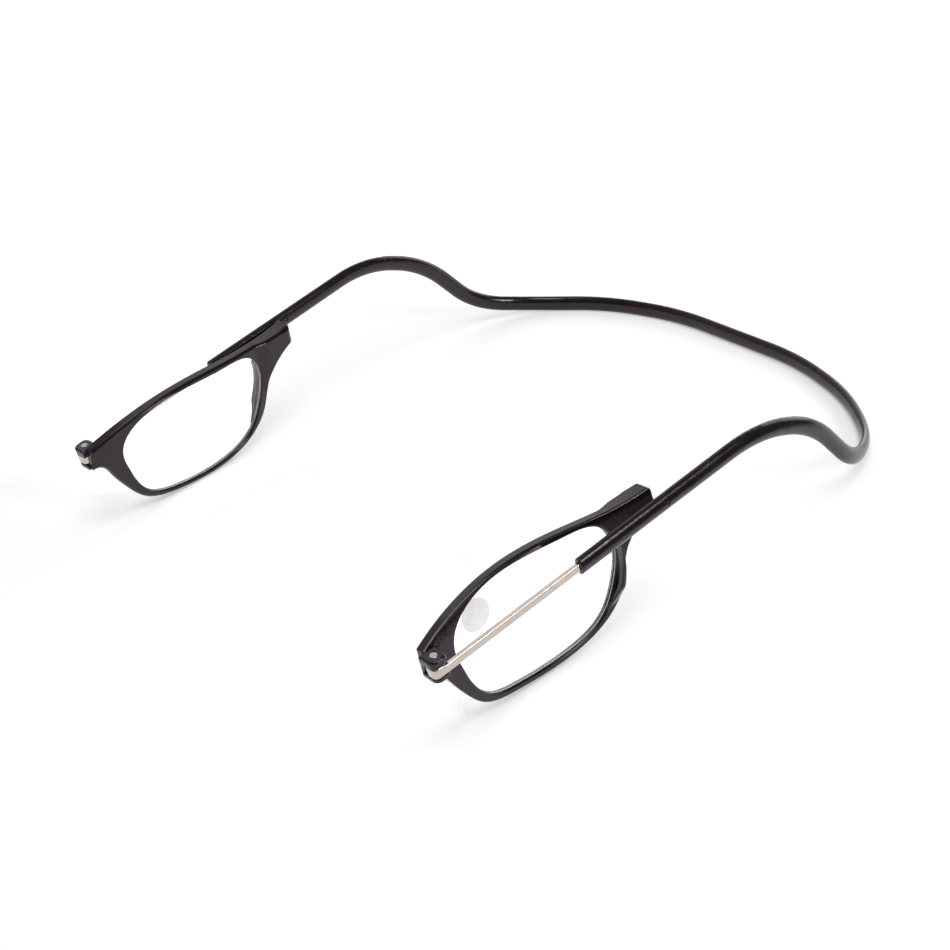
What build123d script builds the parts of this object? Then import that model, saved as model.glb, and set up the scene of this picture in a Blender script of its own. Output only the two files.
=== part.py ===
from build123d import *
from math import atan, cos, radians, sin, sqrt, tan
import os

# Magnetic bridge reading glasses: two half frames that meet at a magnetic bridge,
# steel temple rods that slide in the ends of a one-piece neckband.
# Millimetres. X to the wearer's left and right, -Y to the front, +Z up.
# The glasses stand on a table with both half frames folded back along the temples.

# Front: apertures, end pieces and bridge
APERTURE_WIDTH = 47.5
APERTURE_HEIGHT = 30.6
APERTURE_RISE = 6.5
END_PIECE_LENGTH = 7.2
BRIDGE_WIDTH = 26.6
RIM_SIDE = 3.0
RIM_BAND = 1.6
RIM_DEPTH = 2.8
RIM_REACH = 5.75
FRONT_RADIUS = 185.0
FRONT_BEVEL = 0.6
EDGE_BEVEL = 0.3
PANTOSCOPIC_ANGLE = 6.8

# End piece and hinge lugs
END_OVERHANG = 1.1
END_SLANT = 0.7
END_TOP = 4.3
END_BOTTOM = 1.8
LUG_WIDTH = 4.6
LUG_CORNER = 1.7
LUG_TOP = 3.7
LUG_BOTTOM = 2.5
LUG_EDGE = 0.35

# Bridge block and its magnet
BLOCK_TOP = 2.6
BLOCK_BOTTOM = 3.0
BLOCK_SWELL = 0.75
BLOCK_BACK = 1.5
BLOCK_LENGTH = 13.0
BLOCK_BLEND = 3.6
BLOCK_CORNER = 1.9
BLOCK_CHAMFER = 1.3
MAGNET_DIAMETER = 2.0
MAGNET_LENGTH = 4.0
MAGNET_PROUD = 0.1
MAGNET_WALL = 0.35

# Nose pad moulded on the back of the rim
PAD_THICKNESS = 1.3
PAD_DEPTH = 1.9
PAD_INSET = 1.0
PAD_FLARE_ANGLE = 28.0

# Lens
LENS_EDGE = 1.6
LENS_CENTRE = 2.4
LENS_TONGUE = 0.8
LENS_TONGUE_DEPTH = 0.5
STICKER_DIAMETER = 8.0
STICKER_THICKNESS = 0.1
STICKER_TOP_GAP = 1.0
STICKER_SIDE_GAP = 4.1

# Temple rod, its hinge eye and its stop slot
ROD_THICKNESS = 1.2
ROD_HEIGHT = 2.1
ROD_EDGE = 0.25
EYE_RADIUS = 2.25
EYE_CORNER = 1.3
EYE_RISE = 0.5
SLOT_HEIGHT = 0.9
ROD_TAIL = 2.0

# Hinge pin
PIN_DIAMETER = 1.2
PIN_HEAD_DIAMETER = 2.0
PIN_HEAD_HEIGHT = 0.55
PIN_HEAD_RECESS = 0.45
PIN_HEAD_DOME = 0.3

# Neckband
BAND_THICKNESS = 2.7
BAND_HEIGHT = 4.6
MOUTH_SETBACK = 43.2
MOUTH_RADIUS = 0.35
STRAIGHT_RUN = 59.1
NECK_DEPTH = 78.0
BORE_SPARE = 0.8
STOP_SETBACK = 27.2
STOP_PIN_DIAMETER = 0.7
STOP_PIN_RECESS = 0.25

# Travel and pose of each side as it lies on the table
TEMPLE_SLOPE = 8.1
TEMPLE_SPLAY = 2.2
EXTEND_TRAVEL = 4.5
RETRACT_TRAVEL = 13.0
LEFT_REST_SLIDE = 0.0
RIGHT_REST_SLIDE = 3.0
LEFT_REST_FOLD = -3.3
RIGHT_REST_FOLD = -1.5

# Clearances
SEAT_CLEARANCE = 0.05
RUNNING_CLEARANCE = 0.06
LUG_CLEARANCE = 0.12
SWING_CLEARANCE = 0.05
OVERRUN = 1.0

# Aperture outline: shares of the half width and half height about its middle.
APERTURE_shares = (
    (-1.0, 0.20), (-0.90, 0.76), (-0.56, 0.985), (-0.12, 0.985), (0.50, 0.82),
    (0.90, 0.60), (1.0, 0.22), (0.90, -0.36), (0.66, -0.84), (0.12, -1.0),
    (-0.46, -0.86), (-0.82, -0.60), (-0.965, -0.12),
)
# Rim outline under and over the aperture: shares of the rim's half width and height.
RIM_LOWER_shares = (
    (1.0, -0.02), (0.862, -0.513), (0.60, -0.872), (0.151, -1.0),
    (-0.409, -0.872), (-0.794, -0.617), (-0.97, -0.188), (-1.06, 0.148),
    (-1.092, 0.29), (-1.142, 0.386),
)
RIM_UPPER_shares = ((-0.783, 0.936), (-0.335, 0.994), (0.264, 0.896))
# Nose pad's outer face: shares of the rim's half width and height.
PAD_shares = ((0.99, 0.30), (0.965, -0.25), (0.72, -0.76))
# Neckband bends behind the ear: shares of the ear's half spacing, of the depth
# behind the ear and of the ear's height over the part that lies on the table.
NECK_PATH_shares = (
    (0.993, 0.262, 0.759), (0.984, 0.495, 0.143), (0.868, 0.724, 0.0),
    (0.630, 0.901, 0.0), (0.315, 1.0, 0.0), (0.0, 1.0, 0.0),
)
BEND_share = 0.47

# Worked out from the sizes above
half_width = APERTURE_WIDTH / 2
half_height = APERTURE_HEIGHT / 2
centre_u = END_PIECE_LENGTH + half_width
centre_v = APERTURE_RISE - half_height
pin_half_spacing = END_PIECE_LENGTH + APERTURE_WIDTH + BRIDGE_WIDTH / 2
rim_front = RIM_REACH + RIM_DEPTH / 2
slope = radians(TEMPLE_SLOPE)
splay = radians(TEMPLE_SPLAY)
rod_offset = EYE_RADIUS - ROD_THICKNESS / 2
slot_travel = EXTEND_TRAVEL + RETRACT_TRAVEL
slot_front = MOUTH_SETBACK + STOP_SETBACK - RETRACT_TRAVEL
rod_length = slot_front + slot_travel + SLOT_HEIGHT / 2 + ROD_TAIL
bore_depth = rod_length + RETRACT_TRAVEL - MOUTH_SETBACK + BORE_SPARE
lug_gap = ROD_HEIGHT / 2 + LUG_CLEARANCE
eye_sweep = sqrt(2) * (EYE_RADIUS - EYE_CORNER) + EYE_CORNER + LUG_CLEARANCE

# The bridge face stays short of the middle plane all through the swing,
# with the rods pulled right out.
reach_limit = pin_half_spacing - EXTEND_TRAVEL * sin(splay) - SWING_CLEARANCE
block_front = RIM_REACH + BLOCK_SWELL
bridge_face = sqrt((reach_limit - BLOCK_CORNER) ** 2 - (block_front - BLOCK_CORNER) ** 2)
bridge_face = bridge_face + BLOCK_CORNER - MAGNET_PROUD
block_start = bridge_face - BLOCK_LENGTH

# Directions of the right side: along the rod, along the pin and across both
rod_dir = Vector(sin(splay) * cos(slope), cos(splay) * cos(slope), sin(slope))
pin_tilt = atan(tan(slope) / cos(splay))
pin_dir = Vector(0, -sin(pin_tilt), cos(pin_tilt))
side_dir = rod_dir.cross(pin_dir)
fold_dir = Vector(0, cos(pin_tilt), sin(pin_tilt))

# The rim's own plane: u towards the nose, v up the lens, normal to the back
tilt = radians(PANTOSCOPIC_ANGLE)
rim_plane = Plane(origin=(0, 0, 0), x_dir=(1, 0, 0), z_dir=(0, -cos(tilt), sin(tilt)))
nose_dir = Vector(1, 0, 0)


def rim_layer(distance):
    """Sketch plane across the front at a distance ahead of the pin axis."""
    return rim_plane.offset(-distance)


def slab(plane, outline, depth):
    """Solid of an outline laid on a plane and drawn out along the plane's normal."""
    return extrude(plane * outline, amount=depth, dir=plane.z_dir)


def through(outline):
    """Solid of an outline drawn right through the front from ahead of it."""
    return slab(rim_layer(rim_front + OVERRUN), outline, rim_front + 3 * OVERRUN)


def reach_at(u, ahead=0):
    """Distance ahead of the pin axis of the front's curved middle, or of a curve ahead of it."""
    return RIM_REACH - FRONT_RADIUS + sqrt((FRONT_RADIUS + ahead) ** 2 - (u - centre_u) ** 2)


def plan_plane(v, u=0, distance=0):
    """Sketch plane seen from above the front: x towards the nose, y forwards."""
    origin = rim_plane.from_local_coords((u, v, -distance))
    return Plane(origin=origin, x_dir=rim_plane.x_dir, z_dir=rim_plane.y_dir)


def curved_sheet(ahead, behind):
    """Curved wall from a distance ahead of the front's middle to one behind it."""
    ring = Circle(FRONT_RADIUS + ahead) - Circle(FRONT_RADIUS - behind)
    ring &= Pos(0, FRONT_RADIUS) * Rectangle(2 * pin_half_spacing, FRONT_RADIUS)
    start = plan_plane(centre_v - APERTURE_HEIGHT, centre_u, RIM_REACH - FRONT_RADIUS)
    return slab(start, ring, 2 * APERTURE_HEIGHT)


def aperture_face(grow):
    """Aperture outline, grown all round."""
    points = [
        (centre_u + (half_width + grow) * u, centre_v + (half_height + grow) * v)
        for u, v in APERTURE_shares
    ]
    return Face(Wire([Spline(*points, periodic=True)]))


def rim_point(share):
    """Point of the rim's outline from its shares."""
    u = centre_u + (half_width + RIM_SIDE) * share[0]
    v = centre_v + (half_height + RIM_BAND) * share[1]
    return (u, v)


def rim_outline():
    """Outline of a half frame from its hinge end to its bridge face."""
    block_foot = bridge_face - BLOCK_LENGTH / 2
    upper = [(-END_OVERHANG, END_TOP)]
    upper += [rim_point(share) for share in RIM_UPPER_shares]
    upper += [(block_start, BLOCK_TOP + BLOCK_CHAMFER / 2), (bridge_face, BLOCK_TOP)]
    lower = [(bridge_face, -BLOCK_BOTTOM), (block_foot, -2 * BLOCK_BOTTOM)]
    lower += [rim_point(share) for share in RIM_LOWER_shares]
    lower += [(-END_OVERHANG - END_SLANT, -END_BOTTOM)]
    past = bridge_face + OVERRUN
    end = Polyline(upper[-1], (past, BLOCK_TOP), (past, -BLOCK_BOTTOM), lower[0])
    curves = [Spline(*upper), Spline(*lower), Line(lower[-1], upper[0])]
    return Face(Wire(curves + end.edges()))


def front_plan():
    """Front seen from above: a curved bar that swells forwards into the bridge block."""
    left = -END_OVERHANG - END_SLANT - OVERRUN
    front = [(u, reach_at(u, RIM_DEPTH / 2)) for u in (left, centre_u, block_start)]
    back = [(u, reach_at(u, -RIM_DEPTH / 2)) for u in (left, centre_u, block_start)]
    corners = [(block_start + BLOCK_BLEND, block_front), (bridge_face, block_front)]
    end = Polyline(front[-1], *corners, (bridge_face, BLOCK_BACK), back[-1])
    curves = [ThreePointArc(*front), ThreePointArc(*back), Line(back[0], front[0])]
    plan = Face(Wire(curves + end.edges()))
    soft = [plan.vertices().sort_by_distance(point)[0] for point in (front[-1], corners[0])]
    plan = fillet(soft, BLOCK_BLEND)
    return fillet(plan.vertices().sort_by_distance(corners[1])[0], BLOCK_CORNER)


def is_ahead(edge):
    """Whether an edge lies ahead of the front's curved middle."""
    place = rim_plane.to_local_coords(edge.center())
    return -place.Z > reach_at(place.X)


def front_bar():
    """Rim, end piece and bridge block with every long edge bevelled."""
    prism = through(rim_outline())
    bar = slab(plan_plane(centre_v - APERTURE_HEIGHT), front_plan(), 2 * APERTURE_HEIGHT)
    body = prism & bar
    edges = [edge for edge in new_edges(prism, bar, combined=body) if is_ahead(edge)]
    body = chamfer(edges, FRONT_BEVEL)
    edges = [edge for edge in new_edges(prism, bar, combined=body) if not is_ahead(edge)]
    body = chamfer(edges, EDGE_BEVEL)
    opening = through(aperture_face(0))
    rim = body - opening
    return chamfer(new_edges(body, opening, combined=rim), EDGE_BEVEL)


def block_facet():
    """Cutter for the facet that opens along the block's upper front edge."""
    start = rim_plane.from_local_coords((block_start + BLOCK_BLEND, BLOCK_TOP, -block_front))
    low = rim_plane.from_local_coords((bridge_face, BLOCK_TOP - BLOCK_CHAMFER, -block_front))
    high = rim_plane.from_local_coords((bridge_face, BLOCK_TOP, BLOCK_CHAMFER - block_front))
    cut = Plane(origin=start, x_dir=low - start, z_dir=(high - start).cross(low - start))
    area = Rectangle(2 * BLOCK_LENGTH, BLOCK_LENGTH, align=(Align.MIN, Align.CENTER))
    return slab(cut, area, BLOCK_LENGTH)


def hinge_lugs():
    """Two lugs behind the end piece, above and below the rod's eye."""
    root = reach_at(0) - RIM_DEPTH / 4
    back = LUG_WIDTH / 2
    plan = Pos(0, -back) * Rectangle(LUG_WIDTH, root + back, align=(Align.CENTER, Align.MIN))
    plan = fillet(plan.vertices().sort_by(Axis.Y)[:2], LUG_CORNER)
    foot = lug_gap + EYE_RISE
    upper = slab(Plane.XY.offset(foot), plan, LUG_TOP - foot)
    upper = chamfer(upper.faces().sort_by(Axis.Z)[-1].edges(), LUG_EDGE)
    lower = slab(Plane.XY.offset(-LUG_BOTTOM), plan, LUG_BOTTOM - lug_gap)
    lower = chamfer(lower.faces().sort_by(Axis.Z)[0].edges(), LUG_EDGE)
    return upper + lower


def nose_pad():
    """Flange behind the nose side of the rim."""
    outer = [rim_point(share) for share in PAD_shares]
    outer = [(u - PAD_INSET, v) for u, v in outer]
    inner = [(u - PAD_THICKNESS, v + PAD_INSET) for u, v in outer]
    outline = Face(Wire([
        ThreePointArc(*outer),
        Line(outer[-1], inner[-1]),
        ThreePointArc(*inner),
        Line(inner[0], outer[0]),
    ]))
    root = reach_at(outer[0][0])
    lean = rim_plane.z_dir * cos(radians(PAD_FLARE_ANGLE)) - nose_dir * sin(radians(PAD_FLARE_ANGLE))
    flange = extrude(rim_layer(root) * outline, amount=2 * PAD_DEPTH, dir=lean)
    tip = root - RIM_DEPTH / 2 - PAD_DEPTH
    top = outer[0][1]
    bottom = outer[-1][1]
    limit = FilletPolyline(
        (top, -root), (top, -tip - PAD_DEPTH / 2), (top - PAD_DEPTH / 2, -tip),
        (bottom + 3 * PAD_DEPTH, -tip), (bottom, -root),
        radius=PAD_THICKNESS,
    )
    limit = Face(Wire(limit.edges() + Line((bottom, -root), (top, -root)).edges()))
    across = Plane(origin=(0, 0, 0), x_dir=rim_plane.y_dir, z_dir=nose_dir)
    return flange & slab(across, limit, pin_half_spacing)


def magnet_plane(depth):
    """Plane across the magnet at a depth behind the bridge face."""
    middle = block_front - BLOCK_CORNER - MAGNET_WALL - MAGNET_DIAMETER / 2
    rise = (BLOCK_TOP - BLOCK_BOTTOM) / 2
    origin = rim_plane.from_local_coords((bridge_face - depth, rise, -middle))
    return Plane(origin=origin, x_dir=rim_plane.y_dir, z_dir=nose_dir)


def half_frame():
    """Rim, bridge block, nose pad and hinge lugs, moulded in one."""
    frame = front_bar() - block_facet()
    frame += (hinge_lugs() + nose_pad()) - through(aperture_face(0))
    groove = LENS_TONGUE / 2 + SEAT_CLEARANCE
    frame -= through(aperture_face(LENS_TONGUE_DEPTH + SEAT_CLEARANCE)) & curved_sheet(groove, groove)
    frame -= slab(Plane.XY.offset(-lug_gap), Circle(eye_sweep), 2 * lug_gap + EYE_RISE)
    frame -= slab(Plane.XY.offset(-LUG_BOTTOM - OVERRUN), Circle(PIN_DIAMETER / 2 + SEAT_CLEARANCE),
                  LUG_BOTTOM + LUG_TOP + 2 * OVERRUN)
    frame -= slab(Plane.XY.offset(LUG_TOP - PIN_HEAD_RECESS),
                  Circle(PIN_HEAD_DIAMETER / 2 + SEAT_CLEARANCE), PIN_HEAD_RECESS + OVERRUN)
    pocket = MAGNET_LENGTH - MAGNET_PROUD
    frame -= slab(magnet_plane(pocket), Circle(MAGNET_DIAMETER / 2 + SEAT_CLEARANCE),
                  pocket + OVERRUN)
    return frame


def bridge_magnet():
    """Disc magnet pressed into the bridge face, a touch proud of it."""
    return slab(magnet_plane(MAGNET_LENGTH - MAGNET_PROUD), Circle(MAGNET_DIAMETER / 2),
                MAGNET_LENGTH)


def lens():
    """Lens curved with the front, thicker in the middle, with a tongue for the rim's groove."""
    bulge = LENS_CENTRE - LENS_EDGE / 2
    body = through(aperture_face(-SEAT_CLEARANCE)) & curved_sheet(bulge + OVERRUN, LENS_EDGE / 2)
    sag = LENS_CENTRE - LENS_EDGE + RIM_REACH - reach_at(centre_u + half_width)
    dome = (half_width ** 2 + sag ** 2) / (2 * sag)
    middle = rim_plane.from_local_coords((centre_u, centre_v, dome - RIM_REACH - bulge))
    body = body & Pos(middle) * Sphere(dome)
    tongue = through(aperture_face(LENS_TONGUE_DEPTH))
    tongue &= curved_sheet(LENS_TONGUE / 2, LENS_TONGUE / 2)
    return body + tongue


def lens_sticker():
    """Round label on the back of the lens."""
    u = centre_u - half_width + STICKER_DIAMETER / 2 + STICKER_SIDE_GAP
    v = centre_v + half_height - STICKER_DIAMETER / 2 - STICKER_TOP_GAP
    disc = through(Pos(u, v) * Circle(STICKER_DIAMETER / 2))
    return disc & curved_sheet(-LENS_EDGE / 2, LENS_EDGE / 2 + STICKER_THICKNESS)


def hinge_pin():
    """Rivet pin with a domed head, through both lugs and the rod's eye."""
    shank = slab(Plane.XY.offset(-LUG_BOTTOM), Circle(PIN_DIAMETER / 2),
                 LUG_BOTTOM + LUG_TOP - PIN_HEAD_RECESS)
    head = slab(Plane.XY.offset(LUG_TOP - PIN_HEAD_RECESS), Circle(PIN_HEAD_DIAMETER / 2),
                PIN_HEAD_HEIGHT)
    head = fillet(head.edges().sort_by(Axis.Z)[-1], PIN_HEAD_DOME)
    return head + shank


def temple_rod():
    """Flat steel rod with its hinge eye in front and a stop slot near its tail."""
    corner = Rectangle(EYE_RADIUS, EYE_RADIUS, align=(Align.MIN, Align.MAX))
    corner = fillet(corner.vertices().sort_by(Axis.Y)[:2].sort_by(Axis.X)[-1], EYE_CORNER)
    eye = slab(Plane.XY.offset(-ROD_HEIGHT / 2), Circle(EYE_RADIUS) + corner,
               ROD_HEIGHT + EYE_RISE)
    rims = eye.faces().filter_by(Axis.Z).edges()
    eye = fillet(rims, ROD_EDGE)
    section = RectangleRounded(ROD_THICKNESS, ROD_HEIGHT, ROD_EDGE)
    bar = slab(Plane(origin=(rod_offset, 0, 0), x_dir=(1, 0, 0), z_dir=(0, 1, 0)), section, rod_length)
    rod = eye + bar
    rod -= slab(Plane.XY.offset(-ROD_HEIGHT), Circle(PIN_DIAMETER / 2 + RUNNING_CLEARANCE),
                2 * ROD_HEIGHT)
    slot = Pos(slot_front + slot_travel / 2, 0) * SlotCenterToCenter(slot_travel, SLOT_HEIGHT)
    across = Plane(origin=(0, 0, 0), x_dir=(0, 1, 0), z_dir=(1, 0, 0))
    return rod - slab(across, slot, EYE_RADIUS + OVERRUN)


def neck_route(mouth):
    """Bends of the right half of the neckband, from its mouth to the nape."""
    ear = mouth + rod_dir * STRAIGHT_RUN
    level = BAND_HEIGHT / 2
    points = [mouth, ear]
    for x, y, z in NECK_PATH_shares:
        points.append(Vector(ear.X * x, ear.Y + NECK_DEPTH * y, level + (ear.Z - level) * z))
    return points


def bend_radii(points):
    """Radius of each bend, as large as its two runs allow."""
    radii = []
    for before, corner, after in zip(points, points[1:], points[2:]):
        turn = radians((corner - before).get_angle(after - corner))
        run = min((corner - before).length, (after - corner).length)
        radii.append(BEND_share * run / tan(turn / 2))
    return radii


def stop_line(mouth):
    """Plane across the band at the stop pin, its normal along the pin."""
    return Plane(origin=mouth + rod_dir * STOP_SETBACK, x_dir=rod_dir, z_dir=side_dir)


def neckband(mouth):
    """One-piece band round the neck, with a bore for the rod in each end."""
    points = neck_route(mouth)
    route = FilletPolyline(*points, radius=bend_radii(points))
    section = Ellipse(BAND_THICKNESS / 2, BAND_HEIGHT / 2)
    start = Plane(origin=mouth, x_dir=side_dir, z_dir=rod_dir)
    nape = Plane(origin=points[-1], x_dir=(0, 1, 0), z_dir=(-1, 0, 0))
    half = sweep([start * section, nape * section], path=route, multisection=True)
    rim = half.faces().sort_by_distance(mouth)[0].edges()
    half = fillet(rim, MOUTH_RADIUS)
    bore = RectangleRounded(ROD_THICKNESS + 2 * RUNNING_CLEARANCE,
                            ROD_HEIGHT + 2 * RUNNING_CLEARANCE, ROD_EDGE + RUNNING_CLEARANCE)
    half -= slab(start.offset(-OVERRUN), bore, bore_depth + OVERRUN)
    cross_hole = Circle(STOP_PIN_DIAMETER / 2 + SEAT_CLEARANCE)
    half -= slab(stop_line(mouth).offset(-BAND_THICKNESS), cross_hole, 2 * BAND_THICKNESS)
    return half + mirror(half, about=Plane.YZ)


def stop_pin(mouth):
    """Pin across the band, through the rod's slot, that ends the rod's travel."""
    length = BAND_THICKNESS - 2 * STOP_PIN_RECESS
    return slab(stop_line(mouth).offset(-length / 2), Circle(STOP_PIN_DIAMETER / 2), length)


def pin_place(slide, height):
    """Middle of the right hinge pin with its rod pushed in by a distance."""
    return Vector(pin_half_spacing, 0, height) + rod_dir * slide


def rod_frame(slide, height):
    """Right rod's own frame: x outwards, y along the rod, z up the hinge pin."""
    return Plane(origin=pin_place(slide, height), x_dir=side_dir, z_dir=pin_dir)


def front_frame(slide, fold, height):
    """Right half frame's own frame: x towards its nose end, z up the hinge pin."""
    folded = Plane(origin=pin_place(slide, height), x_dir=fold_dir, z_dir=pin_dir)
    return folded.rotated((0, 0, fold))


rest = {
    "left": (LEFT_REST_SLIDE, LEFT_REST_FOLD),
    "right": (RIGHT_REST_SLIDE, RIGHT_REST_FOLD),
}
front_pieces = {
    "half_frame": half_frame(),
    "lens": lens(),
    "hinge_pin": hinge_pin(),
    "bridge_magnet": bridge_magnet(),
}
rod = temple_rod()

# The lower of the two rims stands on the table, as the nape of the band does.
lows = [
    (front_frame(slide, fold, 0) * front_pieces["half_frame"]).bounding_box().min.Z
    for slide, fold in rest.values()
]
hinge_height = -min(lows)
mouth = pin_place(0, hinge_height) + side_dir * rod_offset + rod_dir * MOUTH_SETBACK

nodes = {"neckband": neckband(mouth)}
for side, (slide, fold) in rest.items():
    placed = {"temple_rod": rod_frame(slide, hinge_height) * rod, "stop_pin": stop_pin(mouth)}
    for name, piece in front_pieces.items():
        placed[name] = front_frame(slide, fold, hinge_height) * piece
    for name, piece in placed.items():
        if side == "left":
            piece = mirror(piece, about=Plane.YZ)
        nodes[f"{side}_{name}"] = piece
right_front = front_frame(RIGHT_REST_SLIDE, RIGHT_REST_FOLD, hinge_height)
nodes["lens_sticker"] = right_front * lens_sticker()

# The origin is the middle of the whole footprint, on the table.
whole = Compound(list(nodes.values())).bounding_box()
shift = Vector(-whole.center().X, -whole.center().Y, -whole.min.Z)

os.makedirs("parts", exist_ok=True)
for name, piece in nodes.items():
    piece = Pos(shift) * piece
    piece.label = name
    export_step(piece, f"parts/{name}.step")

print("size", whole.size, "shift", shift)
print("hinge height", hinge_height, "bridge face", bridge_face, "bore depth", bore_depth)
print("rod", rod_dir, "pin", pin_dir, "across", side_dir)
print("band bends", [round(radius, 1) for radius in bend_radii(neck_route(mouth))])
for side, (slide, fold) in rest.items():
    print(side, "pin on the +X side", pin_place(slide, hinge_height) + shift, "fold", fold)
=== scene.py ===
"""Looks of a pair of magnetic bridge reading glasses: finishes, lights and camera.

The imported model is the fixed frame. Every object is in metres, in that frame.
"""

import logging
import math
from dataclasses import dataclass
from enum import Enum
from typing import Iterable, Union

import bpy
from mathutils import Matrix, Vector

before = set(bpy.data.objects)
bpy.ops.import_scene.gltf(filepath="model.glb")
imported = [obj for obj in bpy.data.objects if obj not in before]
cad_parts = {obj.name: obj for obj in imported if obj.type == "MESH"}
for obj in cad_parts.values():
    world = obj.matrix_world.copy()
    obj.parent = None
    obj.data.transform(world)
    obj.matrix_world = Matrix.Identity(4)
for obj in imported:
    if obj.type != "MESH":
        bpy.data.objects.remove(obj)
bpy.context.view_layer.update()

MM = 0.001
log = logging.getLogger("reading_glasses")

Colour = tuple[float, float, float]
Direction = tuple[float, float, float]
Pair = tuple[float, float]
Node = bpy.types.Node
Socket = bpy.types.NodeSocket
Number = Union[Socket, float]
Paint = Union[Socket, Colour]


class Side(Enum):
    """The two halves of the glasses, named as seen from the front."""

    LEFT = "left"
    RIGHT = "right"


class NodeSheet:
    """A node tree with short ways to add nodes and join them."""

    low_colour_input = 6
    high_colour_input = 7
    colour_output = 2

    def __init__(self, tree: bpy.types.NodeTree) -> None:
        """Keeps the tree that the nodes go into.

        Args:
            tree: Node tree of a material, a world or a group.
        """
        self.tree = tree

    def add(self, kind: str, **settings: object) -> Node:
        """Adds a node and sets its properties.

        Args:
            kind: Type of the node, as Blender names it.
            **settings: Properties of the node and their values.

        Returns:
            The new node.
        """
        node = self.tree.nodes.new(kind)
        for name, value in settings.items():
            setattr(node, name, value)
        return node

    def join(self, source: Socket, target: Socket) -> None:
        """Links an output to an input."""
        self.tree.links.new(source, target)

    def feed(self, value: Number, target: Socket) -> None:
        """Gives an input its value.

        Args:
            value: Socket to link, or plain value to set.
            target: The input.
        """
        if isinstance(value, Socket):
            self.join(value, target)
        else:
            target.default_value = value

    def math(self, operation: str, first: Number, second: Number = 0.0) -> Socket:
        """Adds a math node whose inputs are sockets or plain numbers.

        Args:
            operation: Operation of the math node.
            first: Socket or number for the first input.
            second: Socket or number for the second input.

        Returns:
            The result.
        """
        node = self.add("ShaderNodeMath", operation=operation)
        self.feed(first, node.inputs[0])
        self.feed(second, node.inputs[1])
        return node.outputs[0]

    def blend(self, share: Socket, low: Paint, high: Paint) -> Socket:
        """Mixes two colours, each a socket or a plain colour.

        Args:
            share: Socket that says how much of the second colour shows.
            low: First colour.
            high: Second colour.

        Returns:
            The mixed colour.
        """
        node = self.add("ShaderNodeMix", data_type="RGBA")
        self.join(share, node.inputs[0])
        for place, paint in ((self.low_colour_input, low), (self.high_colour_input, high)):
            self.feed(paint if isinstance(paint, Socket) else (*paint, 1.0), node.inputs[place])
        return node.outputs[self.colour_output]

    def mix_shaders(self, share: Socket, first: Socket, second: Socket) -> Socket:
        """Mixes two shaders.

        Args:
            share: Socket that says how much of the second shader shows.
            first: First shader.
            second: Second shader.

        Returns:
            The mixed shader.
        """
        node = self.add("ShaderNodeMixShader")
        for place, source in enumerate((share, first, second)):
            self.join(source, node.inputs[place])
        return node.outputs[0]

    def ramp(self, value: Socket, low: float, high: float,
             bottom: float = 0.0, top: float = 1.0) -> Socket:
        """Maps a range of a value to another range, clamped.

        Args:
            value: Socket of the value.
            low: Value that gives the bottom.
            high: Value that gives the top.
            bottom: Result at the low end.
            top: Result at the high end.

        Returns:
            The mapped value.
        """
        node = self.add("ShaderNodeMapRange")
        self.join(value, node.inputs[0])
        for place, number in enumerate((low, high, bottom, top), start=1):
            node.inputs[place].default_value = number
        return node.outputs[0]

    def scaled(self, vector: Socket, scale: Number) -> Socket:
        """Makes a vector longer or shorter.

        Args:
            vector: Socket of the vector.
            scale: Socket or number that the vector is multiplied by.

        Returns:
            The scaled vector.
        """
        node = self.add("ShaderNodeVectorMath", operation="SCALE")
        self.join(vector, node.inputs[0])
        self.feed(scale, node.inputs["Scale"])
        return node.outputs[0]

    def two_vectors(self, operation: str, first: Socket, second: Socket) -> Node:
        """Adds a vector math node with two vectors.

        Args:
            operation: Operation of the vector math node.
            first: First vector.
            second: Second vector.

        Returns:
            The node.
        """
        node = self.add("ShaderNodeVectorMath", operation=operation)
        self.join(first, node.inputs[0])
        self.join(second, node.inputs[1])
        return node

    def noise(self, point: Socket, scale: Number, detail: float,
              distortion: float = 0.0) -> Socket:
        """Adds a noise.

        Args:
            point: Point at which the noise is read.
            scale: Socket or number for the noise's fineness.
            detail: Number of finer layers.
            distortion: How much the noise is warped.

        Returns:
            The noise's value.
        """
        node = self.add("ShaderNodeTexNoise")
        self.join(point, node.inputs["Vector"])
        self.feed(scale, node.inputs["Scale"])
        node.inputs["Detail"].default_value = detail
        node.inputs["Distortion"].default_value = distortion
        return node.outputs[0]

    def bump(self, height: Socket, strength: float, depth: float) -> Node:
        """Adds a bump.

        Args:
            height: Height of the surface, from 0 to 1.
            strength: Share of the bump that shows.
            depth: Depth of the bump, in metres.

        Returns:
            The bump node.
        """
        node = self.add("ShaderNodeBump")
        node.inputs["Strength"].default_value = strength
        node.inputs["Distance"].default_value = depth
        self.join(height, node.inputs["Height"])
        return node

    def own_point(self) -> Socket:
        """Gives the point of the surface in the object's own space."""
        return self.add("ShaderNodeTexCoord").outputs["Object"]

    def parts_of(self, vector: Socket) -> bpy.types.NodeOutputs:
        """Splits a vector in its X, Y and Z."""
        node = self.add("ShaderNodeSeparateXYZ")
        self.join(vector, node.inputs[0])
        return node.outputs

    def put_out(self, shader: Socket, kind: str = "ShaderNodeOutputMaterial") -> None:
        """Puts a shader out as the tree's surface.

        Args:
            shader: The shader.
            kind: Type of the output node.
        """
        self.join(shader, self.add(kind).inputs["Surface"])


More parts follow.
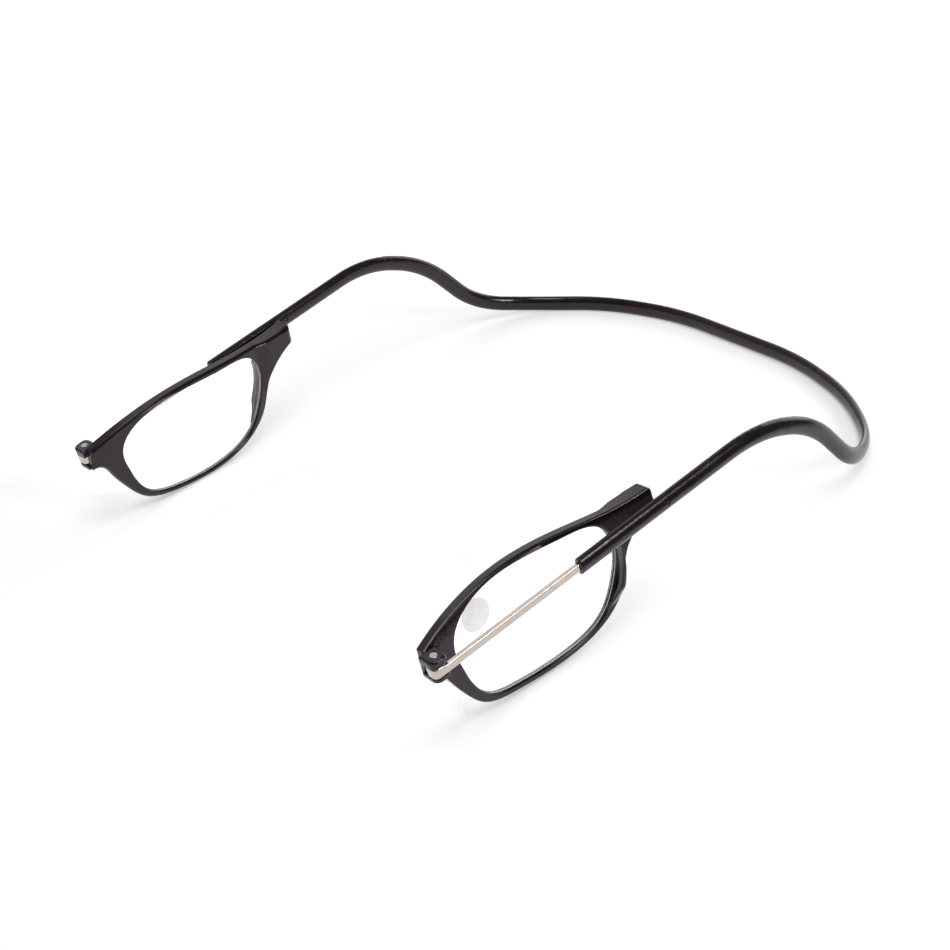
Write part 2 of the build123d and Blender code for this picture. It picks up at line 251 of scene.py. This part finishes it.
class EffectGroup:
    """A shader node group that several finishes use."""

    name = "effect"
    vectors: tuple[str, ...] = ("Point",)
    numbers: tuple[tuple[str, float], ...] = ()
    gives: tuple[str, ...] = ()

    def __init__(self) -> None:
        """Builds the group once."""
        self.tree = bpy.data.node_groups.new(self.name, "ShaderNodeTree")
        for title in self.vectors:
            self.tree.interface.new_socket(title, in_out="INPUT", socket_type="NodeSocketVector")
        for title, value in self.numbers:
            socket = self.tree.interface.new_socket(
                title, in_out="INPUT", socket_type="NodeSocketFloat")
            socket.default_value = value
        for title in self.gives:
            self.tree.interface.new_socket(title, in_out="OUTPUT", socket_type="NodeSocketFloat")
        sheet = NodeSheet(self.tree)
        self.draw(sheet, sheet.add("NodeGroupInput"), sheet.add("NodeGroupOutput"))

    def draw(self, sheet: NodeSheet, given: Node, result: Node) -> None:
        """Adds the group's own nodes.

        Args:
            sheet: The group's node tree.
            given: Its input node.
            result: Its output node.
        """
        raise NotImplementedError

    def place(self, sheet: NodeSheet, point: Socket, **values: float) -> Node:
        """Places the group in a material.

        Args:
            sheet: The material's node tree.
            point: Point of the surface, in metres.
            **values: Values of the group's inputs, with _ for each space in a name.

        Returns:
            The group's node.
        """
        node = sheet.add("ShaderNodeGroup", node_tree=self.tree)
        sheet.join(point, node.inputs["Point"])
        for title, value in values.items():
            node.inputs[title.replace("_", " ").title()].default_value = value
        return node


class MouldSkin(EffectGroup):
    """Faint orange peel and flow marks of a polished moulding."""

    name = "mould_skin"
    numbers = (("Peel Per Mm", 1.6), ("Flow Per Mm", 0.12), ("Peel Share", 0.5))
    gives = ("Height", "Flow")
    peel_detail = 3.0
    flow_detail = 4.0
    flow_distortion = 0.6
    flow_range = (0.35, 0.65)

    def draw(self, sheet: NodeSheet, given: Node, result: Node) -> None:
        """Adds two noises, one fine for the peel and one coarse for the flow."""
        point = sheet.scaled(given.outputs["Point"], 1 / MM)
        peel = sheet.noise(point, given.outputs["Peel Per Mm"], self.peel_detail)
        flow = sheet.noise(
            point, given.outputs["Flow Per Mm"], self.flow_detail, self.flow_distortion)
        fine = sheet.math("MULTIPLY", peel, given.outputs["Peel Share"])
        sheet.join(sheet.math("ADD", fine, flow), result.inputs["Height"])
        sheet.join(sheet.ramp(flow, *self.flow_range), result.inputs["Flow"])


class Hairlines(EffectGroup):
    """Fine straight scratches or drawing lines along one direction."""

    name = "hairlines"
    vectors = ("Point", "Along")
    numbers = (("Lines Per Mm", 9.0), ("Stretch", 60.0), ("Threshold", 0.6))
    gives = ("Mask", "Height")
    line_detail = 5.0
    line_softness = 0.08

    def draw(self, sheet: NodeSheet, given: Node, result: Node) -> None:
        """Squeezes the space along the direction, and cuts a noise there at the threshold."""
        point = sheet.scaled(given.outputs["Point"], 1 / MM)
        along = sheet.two_vectors("DOT_PRODUCT", point, given.outputs["Along"])
        part = sheet.scaled(given.outputs["Along"], along.outputs["Value"])
        across = sheet.two_vectors("SUBTRACT", point, part)
        short = sheet.scaled(part, sheet.math("DIVIDE", 1.0, given.outputs["Stretch"]))
        squeezed = sheet.two_vectors("ADD", across.outputs[0], short)
        noise = sheet.noise(squeezed.outputs[0], given.outputs["Lines Per Mm"], self.line_detail)
        over = sheet.math("SUBTRACT", noise, given.outputs["Threshold"])
        sheet.join(sheet.ramp(over, 0.0, self.line_softness), result.inputs["Mask"])
        sheet.join(noise, result.inputs["Height"])


class Dust(EffectGroup):
    """Sparse specks of dust and lint."""

    name = "dust"
    numbers = (("Specks Per Mm", 0.8), ("Speck Size", 0.09))
    gives = ("Mask",)
    patches_per_mm = 0.25
    patch_detail = 2.0
    patch_range = (0.5, 0.62)

    def draw(self, sheet: NodeSheet, given: Node, result: Node) -> None:
        """Keeps the middles of random cells, in patches."""
        point = sheet.scaled(given.outputs["Point"], 1 / MM)
        cells = sheet.add("ShaderNodeTexVoronoi")
        sheet.join(point, cells.inputs["Vector"])
        sheet.join(given.outputs["Specks Per Mm"], cells.inputs["Scale"])
        inside = sheet.math("LESS_THAN", cells.outputs["Distance"], given.outputs["Speck Size"])
        patches = sheet.noise(point, self.patches_per_mm, self.patch_detail)
        kept = sheet.ramp(patches, *self.patch_range)
        sheet.join(sheet.math("MULTIPLY", inside, kept), result.inputs["Mask"])


@dataclass(frozen=True)
class Effects:
    """The shared node groups."""

    skin: MouldSkin
    lines: Hairlines
    dust: Dust


def empty_material(name: str) -> tuple[bpy.types.Material, NodeSheet]:
    """Makes a material with an empty node tree.

    Args:
        name: Name of the material.

    Returns:
        The material and its node tree.
    """
    material = bpy.data.materials.new(name)
    material.use_nodes = True
    material.node_tree.nodes.clear()
    return material, NodeSheet(material.node_tree)


def solid_material(name: str) -> tuple[bpy.types.Material, NodeSheet, Node]:
    """Makes a material with a Principled shader.

    Args:
        name: Name of the material.

    Returns:
        The material, its node tree and its Principled shader.
    """
    material, sheet = empty_material(name)
    shader = sheet.add("ShaderNodeBsdfPrincipled")
    sheet.put_out(shader.outputs[0])
    return material, sheet, shader


def clear_material(name: str, ior: float) -> tuple[bpy.types.Material, NodeSheet, Node]:
    """Makes a clear material that is open to the lamps' light, so that it casts no black shadow.

    Args:
        name: Name of the material.
        ior: Its index of refraction.

    Returns:
        The material, its node tree and its Principled shader.
    """
    material, sheet = empty_material(name)
    shader = sheet.add("ShaderNodeBsdfPrincipled")
    shader.inputs["IOR"].default_value = ior
    shader.inputs["Transmission Weight"].default_value = 1.0
    path = sheet.add("ShaderNodeLightPath")
    opening = sheet.add("ShaderNodeBsdfTransparent")
    sheet.put_out(sheet.mix_shaders(
        path.outputs["Is Shadow Ray"], shader.outputs[0], opening.outputs[0]))
    return material, sheet, shader


@dataclass(frozen=True)
class GlossyPlastic:
    """Polished black moulding with flow marks, hairlines and a little dust."""

    name: str
    roughness: float
    colour: Colour = (0.0035, 0.003, 0.0033)
    worn_colour: Colour = (0.006, 0.005, 0.0055)
    worn_roughening: float = 1.35
    ior: float = 1.5
    sheen_tint: Colour = (1.0, 0.80, 0.95)
    peel_bump: float = 0.012
    peel_depth: float = 0.1 * MM
    edge_radius: float = 0.45 * MM
    edge_samples: int = 8
    dust_colour: Colour = (0.42, 0.40, 0.38)
    dust_share: float = 0.35
    dust_roughness: float = 0.3
    rub_direction: Direction = (0.2, 0.9, 0.4)
    rubs_per_mm: float = 5.0
    rub_stretch: float = 30.0
    rub_threshold: float = 0.66
    rub_roughness: float = 0.12

    def material(self, effects: Effects) -> bpy.types.Material:
        """Builds the material.

        Args:
            effects: The shared node groups.

        Returns:
            The material.
        """
        material, sheet, shader = solid_material(self.name)
        point = sheet.own_point()
        skin = effects.skin.place(sheet, point)
        flow = skin.outputs["Flow"]
        rubs = effects.lines.place(sheet, point, lines_per_mm=self.rubs_per_mm,
                                   stretch=self.rub_stretch, threshold=self.rub_threshold)
        rubs.inputs["Along"].default_value = self.rub_direction
        dust = effects.dust.place(sheet, point).outputs["Mask"]
        speck = sheet.math("MULTIPLY", dust, self.dust_share)
        aged = sheet.blend(flow, self.colour, self.worn_colour)
        sheet.join(sheet.blend(speck, aged, self.dust_colour), shader.inputs["Base Color"])
        rough = sheet.ramp(flow, 0.0, 1.0, self.roughness, self.roughness * self.worn_roughening)
        for mask, share in ((rubs.outputs["Mask"], self.rub_roughness),
                            (dust, self.dust_roughness)):
            rough = sheet.math("ADD", rough, sheet.math("MULTIPLY", mask, share))
        sheet.join(rough, shader.inputs["Roughness"])
        bump = sheet.bump(skin.outputs["Height"], self.peel_bump, self.peel_depth)
        edge = sheet.add("ShaderNodeBevel", samples=self.edge_samples)
        edge.inputs["Radius"].default_value = self.edge_radius
        sheet.join(edge.outputs[0], bump.inputs["Normal"])
        sheet.join(bump.outputs[0], shader.inputs["Normal"])
        shader.inputs["IOR"].default_value = self.ior
        shader.inputs["Specular Tint"].default_value = (*self.sheen_tint, 1.0)
        return material


@dataclass(frozen=True)
class BrightSteel:
    """Plated or polished steel with drawing lines along one direction."""

    name: str
    colour: Colour
    stain_colour: Colour
    roughness: float
    along: Direction
    line_bump: float = 0.03
    line_depth: float = 0.05 * MM
    lines_per_mm: float = 7.0
    line_stretch: float = 80.0
    line_threshold: float = 0.52
    line_roughness: float = 0.10
    stains_per_mm: float = 0.3
    stain_share: float = 0.5

    def material(self, effects: Effects) -> bpy.types.Material:
        """Builds the material.

        Args:
            effects: The shared node groups.

        Returns:
            The material.
        """
        material, sheet, shader = solid_material(self.name)
        point = sheet.own_point()
        drawn = effects.lines.place(sheet, point, lines_per_mm=self.lines_per_mm,
                                    stretch=self.line_stretch, threshold=self.line_threshold)
        drawn.inputs["Along"].default_value = self.along
        skin = effects.skin.place(sheet, point, flow_per_mm=self.stains_per_mm)
        stained = sheet.math("MULTIPLY", skin.outputs["Flow"], self.stain_share)
        sheet.join(sheet.blend(stained, self.colour, self.stain_colour),
                   shader.inputs["Base Color"])
        rough = sheet.math("MULTIPLY", drawn.outputs["Mask"], self.line_roughness)
        sheet.join(sheet.math("ADD", rough, self.roughness), shader.inputs["Roughness"])
        bump = sheet.bump(drawn.outputs["Height"], self.line_bump, self.line_depth)
        sheet.join(bump.outputs[0], shader.inputs["Normal"])
        shader.inputs["Metallic"].default_value = 1.0
        return material


@dataclass(frozen=True)
class ClearLens:
    """Clear lens with faint smears, the lines of a wiping cloth and a ground edge."""

    name: str
    colour: Colour = (0.995, 0.996, 0.995)
    ior: float = 1.49
    edge_colour: Colour = (0.62, 0.63, 0.63)
    edge_roughness: float = 0.6
    edge_slope: Pair = (0.8, 0.6)
    smears_per_mm: float = 0.07
    smear_roughness: float = 0.012
    wipe_direction: Direction = (0.3, 0.2, 0.9)
    wipes_per_mm: float = 3.0
    wipe_stretch: float = 40.0
    wipe_threshold: float = 0.72
    wipe_roughness: float = 0.03

    def material(self, effects: Effects) -> bpy.types.Material:
        """Builds the material.

        Args:
            effects: The shared node groups.

        Returns:
            The material.
        """
        material, sheet, shader = clear_material(self.name, self.ior)
        point = sheet.own_point()
        smear = effects.skin.place(sheet, point, flow_per_mm=self.smears_per_mm)
        wiped = effects.lines.place(sheet, point, lines_per_mm=self.wipes_per_mm,
                                    stretch=self.wipe_stretch, threshold=self.wipe_threshold)
        wiped.inputs["Along"].default_value = self.wipe_direction
        facing = sheet.parts_of(sheet.add("ShaderNodeTexCoord").outputs["Normal"])
        ground = sheet.ramp(sheet.math("ABSOLUTE", facing["X"]), *self.edge_slope)
        rough = sheet.math("MULTIPLY", smear.outputs["Flow"], self.smear_roughness)
        for mask, share in ((wiped.outputs["Mask"], self.wipe_roughness),
                            (ground, self.edge_roughness)):
            rough = sheet.math("ADD", rough, sheet.math("MULTIPLY", mask, share))
        sheet.join(rough, shader.inputs["Roughness"])
        sheet.join(sheet.blend(ground, self.colour, self.edge_colour), shader.inputs["Base Color"])
        return material


@dataclass(frozen=True)
class CloudyFilm:
    """Thin see-through label, cloudy and a little grey."""

    name: str
    colour: Colour = (0.57, 0.56, 0.565)
    pale_colour: Colour = (0.61, 0.60, 0.605)
    roughness: float = 0.15
    cloud_roughening: float = 1.4
    clouds_per_mm: float = 0.4
    ior: float = 1.4

    def material(self, effects: Effects) -> bpy.types.Material:
        """Builds the material.

        Args:
            effects: The shared node groups.

        Returns:
            The material.
        """
        material, sheet, shader = clear_material(self.name, self.ior)
        skin = effects.skin.place(sheet, sheet.own_point(), flow_per_mm=self.clouds_per_mm)
        cloud = skin.outputs["Flow"]
        sheet.join(sheet.blend(cloud, self.colour, self.pale_colour), shader.inputs["Base Color"])
        rough = sheet.ramp(cloud, 0.0, 1.0, self.roughness, self.roughness * self.cloud_roughening)
        sheet.join(rough, shader.inputs["Roughness"])
        return material


class Finishes:
    """The finishes of the glasses, each made once."""

    pin_lines = (0.0, 0.1, 1.0)
    rod_lines = (0.0, 1.0, 0.0)
    magnet_lines = (1.0, 0.0, 0.0)

    def __init__(self, effects: Effects) -> None:
        """Makes the materials.

        Args:
            effects: The shared node groups.
        """
        self.frame_plastic = GlossyPlastic("frame_plastic", roughness=0.13).material(effects)
        self.band_plastic = GlossyPlastic(
            "band_plastic", roughness=0.17, peel_bump=0.006).material(effects)
        self.rod_steel = BrightSteel(
            "rod_steel", colour=(0.58, 0.51, 0.46), stain_colour=(0.5, 0.43, 0.385),
            roughness=0.11, along=self.rod_lines, line_bump=0.01).material(effects)
        self.pin_steel = BrightSteel(
            "pin_steel", colour=(0.46, 0.43, 0.41), stain_colour=(0.34, 0.31, 0.3),
            roughness=0.3, along=self.pin_lines).material(effects)
        # The stop pin's near-black colour is painted shade: it stands for the dark dimple that the
        # pin sits in, not for the steel's own colour.
        self.stop_pin_painted_shade = BrightSteel(
            "stop_pin_painted_shade", colour=(0.10, 0.09, 0.095), stain_colour=(0.05, 0.045, 0.05),
            roughness=0.35, along=self.pin_lines).material(effects)
        self.magnet_nickel = BrightSteel(
            "magnet_nickel", colour=(0.66, 0.64, 0.6), stain_colour=(0.5, 0.48, 0.45),
            roughness=0.25, along=self.magnet_lines).material(effects)
        self.lens_clear = ClearLens("lens_clear").material(effects)
        self.sticker_film = CloudyFilm("sticker_film").material(effects)


def dress(name: str, material: bpy.types.Material) -> None:
    """Gives a node of the frame its finish.

    Args:
        name: Name of the node.
        material: Its finish.
    """
    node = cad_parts[name]
    node.data.materials.clear()
    node.data.materials.append(material)
    log.info("dressed %s in %s", name, material.name)


@dataclass(frozen=True)
class HalfFront:
    """One half of the front: moulding, lens, hinge pin and bridge magnet."""

    side: Side
    labelled: bool

    def build(self, finishes: Finishes) -> None:
        """Dresses the half's pieces, and its label where it has one.

        Args:
            finishes: The finishes of the glasses.
        """
        dress(f"{self.side.value}_half_frame", finishes.frame_plastic)
        dress(f"{self.side.value}_lens", finishes.lens_clear)
        dress(f"{self.side.value}_hinge_pin", finishes.pin_steel)
        dress(f"{self.side.value}_bridge_magnet", finishes.magnet_nickel)
        if self.labelled:
            dress("lens_sticker", finishes.sticker_film)


@dataclass(frozen=True)
class Temple:
    """A rod that slides in the neckband, with the pin that stops it."""

    side: Side

    def build(self, finishes: Finishes) -> None:
        """Dresses the rod and its stop pin.

        Args:
            finishes: The finishes of the glasses.
        """
        dress(f"{self.side.value}_temple_rod", finishes.rod_steel)
        dress(f"{self.side.value}_stop_pin", finishes.stop_pin_painted_shade)


class Neckband:
    """The one-piece band that both rods slide into."""

    def build(self, finishes: Finishes) -> None:
        """Dresses the band.

        Args:
            finishes: The finishes of the glasses.
        """
        dress("neckband", finishes.band_plastic)


@dataclass(frozen=True)
class Lamp:
    """A soft box that looks at the glasses, in metres and degrees."""

    name: str
    brightness: float
    heading: float
    height: float
    distance: float
    size: Pair

    def build(self) -> None:
        """Adds the lamp to the scene, with the power that gives its face its brightness."""
        data = bpy.data.lights.new(self.name, "AREA")
        data.shape = "RECTANGLE"
        data.size, data.size_y = self.size
        data.energy = self.brightness * math.pi * self.size[0] * self.size[1]
        lamp = bpy.data.objects.new(self.name, data)
        bpy.context.scene.collection.objects.link(lamp)
        turn = Matrix.Rotation(math.radians(self.heading), 4, "Z")
        turn = turn @ Matrix.Rotation(math.radians(-self.height), 4, "Y")
        place = turn @ Vector((self.distance, 0.0, 0.0))
        lamp.rotation_euler = (-place).to_track_quat("-Z", "Y").to_euler()
        lamp.location = place


def seen_by_eye(sheet: NodeSheet, path: Node) -> Socket:
    """Finds what the eye sees, straight or through a lens.

    Args:
        sheet: Node tree to add to.
        path: Its Light Path node.

    Returns:
        1 where the eye sees the surface, and 0 elsewhere.
    """
    return sheet.math(
        "MAXIMUM", path.outputs["Is Camera Ray"], path.outputs["Is Transmission Ray"])


class Studio:
    """White table, soft lamps and the camera, in metres and degrees."""

    white = (1.0, 1.0, 1.0)
    camera_place = (0.297804, -0.254463, 0.250666)
    camera_heading = 51.20
    camera_dip = 32.58
    camera_roll = -6.43
    camera_near = 0.01
    lens_length = 65.18
    sensor_width = 36.0
    table_size = 6.0
    card_half_width = (0.105, 0.130)
    card_colour = (0.8, 0.8, 0.8)
    bench_colour = (0.12, 0.12, 0.12)
    white_lift = 0.29
    far_half_depth = (0.12, 0.17)
    window_front = (-0.068, -0.078)
    window_half_width = (0.050, 0.063)
    window_back = (-0.030, -0.040)
    window_softness = 0.003
    room_right = (0.16, 0.16, 0.16)
    room_left = (0.55, 0.55, 0.55)
    room_over = (0.3, 0.3, 0.3)
    left_turn = (0.1, -0.6)
    over_rise = (0.75, 0.95)
    under_drop = (-0.02, -0.1)
    lamps = (
        Lamp("left_box", 0.55, heading=151.0, height=42.0, distance=1.2, size=(1.0, 1.0)),
        Lamp("back_box", 1.8, heading=100.0, height=20.0, distance=1.0, size=(1.3, 0.7)),
        Lamp("top_box", 4.4, heading=-25.0, height=72.0, distance=1.0, size=(0.5, 0.5)),
        Lamp("edge_box", 13.5, heading=12.5, height=26.0, distance=1.0, size=(0.26, 0.30)),
    )

    def add_camera(self) -> None:
        """Sets the camera at the photograph's place and angle."""
        data = bpy.data.cameras.new("camera")
        data.sensor_width = self.sensor_width
        data.lens = self.lens_length
        data.clip_start = self.camera_near
        camera = bpy.data.objects.new("camera", data)
        bpy.context.scene.collection.objects.link(camera)
        turn = Matrix.Rotation(math.radians(self.camera_heading), 4, "Z")
        turn = turn @ Matrix.Rotation(math.radians(90.0 - self.camera_dip), 4, "X")
        turn = turn @ Matrix.Rotation(math.radians(self.camera_roll), 4, "Z")
        camera.matrix_world = Matrix.Translation(self.camera_place) @ turn
        bpy.context.scene.camera = camera

    def table_glow(self, sheet: NodeSheet, path: Node, bench: Socket, far: Socket) -> Socket:
        """Lifts the table to white for the eye and in the glasses' reflections.

        What shows through a lens is lifted once more, for the light that the lens turns back.

        Args:
            sheet: Node tree to add to.
            path: Its Light Path node.
            bench: 1 on the bench and 0 on the card.
            far: 1 in front of the glasses and behind them, and 0 under them.

        Returns:
            The strength of the glow.
        """
        eye = sheet.ramp(sheet.math("MAXIMUM", bench, far), 0.0, 1.0, self.white_lift, 1.0)
        glass = sheet.math(
            "MAXIMUM", path.outputs["Is Glossy Ray"], path.outputs["Is Transmission Ray"])
        glass = sheet.math("MULTIPLY", glass, sheet.ramp(bench, 0.0, 1.0, self.white_lift, 0.0))
        return sheet.math("ADD", sheet.math("MULTIPLY", seen_by_eye(sheet, path), eye), glass)

    def table_window(self, sheet: NodeSheet, path: Node, aside: Socket, back: Socket) -> Socket:
        """Opens the table where the eye looks at the opened halves.

        They hang lower than the folded ones, past the table's level. So the eye looks through the
        table between the temples, and the table is open from below.

        Args:
            sheet: Node tree to add to.
            path: Its Light Path node.
            aside: Distance from the middle, to either side.
            back: Distance from the middle, to the back.

        Returns:
            1 where the table is open, and 0 elsewhere.
        """
        half_width = sheet.ramp(back, *self.window_front, *self.window_half_width)
        past = sheet.math("SUBTRACT", aside, half_width)
        between = sheet.ramp(past, self.window_softness, -self.window_softness)
        window = sheet.math("MULTIPLY", between, sheet.ramp(back, *self.window_back))
        window = sheet.math("MULTIPLY", window, path.outputs["Is Camera Ray"])
        below = sheet.add("ShaderNodeNewGeometry").outputs["Backfacing"]
        return sheet.math("MAXIMUM", window, below)

    def table_material(self) -> bpy.types.Material:
        """Makes a white card on a darker bench; the eye sees both as white paper.

        Returns:
            The material.
        """
        material, sheet = empty_material("table_white")
        place = sheet.parts_of(sheet.own_point())
        path = sheet.add("ShaderNodeLightPath")
        aside = sheet.math("ABSOLUTE", place["X"])
        bench = sheet.ramp(aside, *self.card_half_width)
        far = sheet.ramp(sheet.math("ABSOLUTE", place["Y"]), *self.far_half_depth)
        paper = sheet.add("ShaderNodeBsdfDiffuse")
        sheet.join(sheet.blend(bench, self.card_colour, self.bench_colour), paper.inputs["Color"])
        glow = sheet.add("ShaderNodeEmission")
        sheet.join(self.table_glow(sheet, path, bench, far), glow.inputs["Strength"])
        both = sheet.add("ShaderNodeAddShader")
        sheet.join(paper.outputs[0], both.inputs[0])
        sheet.join(glow.outputs[0], both.inputs[1])
        opening = sheet.add("ShaderNodeBsdfTransparent")
        window = self.table_window(sheet, path, aside, place["Y"])
        sheet.put_out(sheet.mix_shaders(window, both.outputs[0], opening.outputs[0]))
        return material

    def add_table(self) -> None:
        """Lays the table under the glasses."""
        half = self.table_size / 2
        corners = [(-half, -half, 0), (half, -half, 0), (half, half, 0), (-half, half, 0)]
        mesh = bpy.data.meshes.new("table")
        mesh.from_pydata(corners, [], [(0, 1, 2, 3)])
        mesh.materials.append(self.table_material())
        table = bpy.data.objects.new("table", mesh)
        bpy.context.scene.collection.objects.link(table)

    def add_world(self) -> None:
        """Makes the room dim on the right and paler on the left, and white where it is seen."""
        world = bpy.data.worlds.new("room")
        bpy.context.scene.world = world
        world.use_nodes = True
        world.node_tree.nodes.clear()
        sheet = NodeSheet(world.node_tree)
        way = sheet.parts_of(sheet.add("ShaderNodeTexCoord").outputs["Generated"])
        room = sheet.blend(sheet.ramp(way["X"], *self.left_turn), self.room_right, self.room_left)
        room = sheet.blend(sheet.ramp(way["Z"], *self.over_rise), room, self.room_over)
        room = sheet.blend(sheet.ramp(way["Z"], *self.under_drop), room, self.white)
        seen = seen_by_eye(sheet, sheet.add("ShaderNodeLightPath"))
        light = sheet.add("ShaderNodeBackground")
        sheet.join(sheet.blend(seen, room, self.white), light.inputs["Color"])
        sheet.put_out(light.outputs[0], "ShaderNodeOutputWorld")

    def build(self) -> None:
        """Builds the whole studio."""
        bpy.context.scene.view_settings.view_transform = "Standard"
        self.add_camera()
        self.add_table()
        self.add_world()
        for lamp in self.lamps:
            lamp.build()
        log.info("studio is ready with %d lamps", len(self.lamps))


def main() -> None:
    """Builds the studio and the glasses in order."""
    logging.basicConfig(level=logging.INFO, format="%(name)s: %(message)s")
    Studio().build()
    finishes = Finishes(Effects(MouldSkin(), Hairlines(), Dust()))
    Neckband().build(finishes)
    for side in Side:
        Temple(side).build(finishes)
        HalfFront(side, labelled=side is Side.RIGHT).build(finishes)


if __name__ == "__main__":
    main()
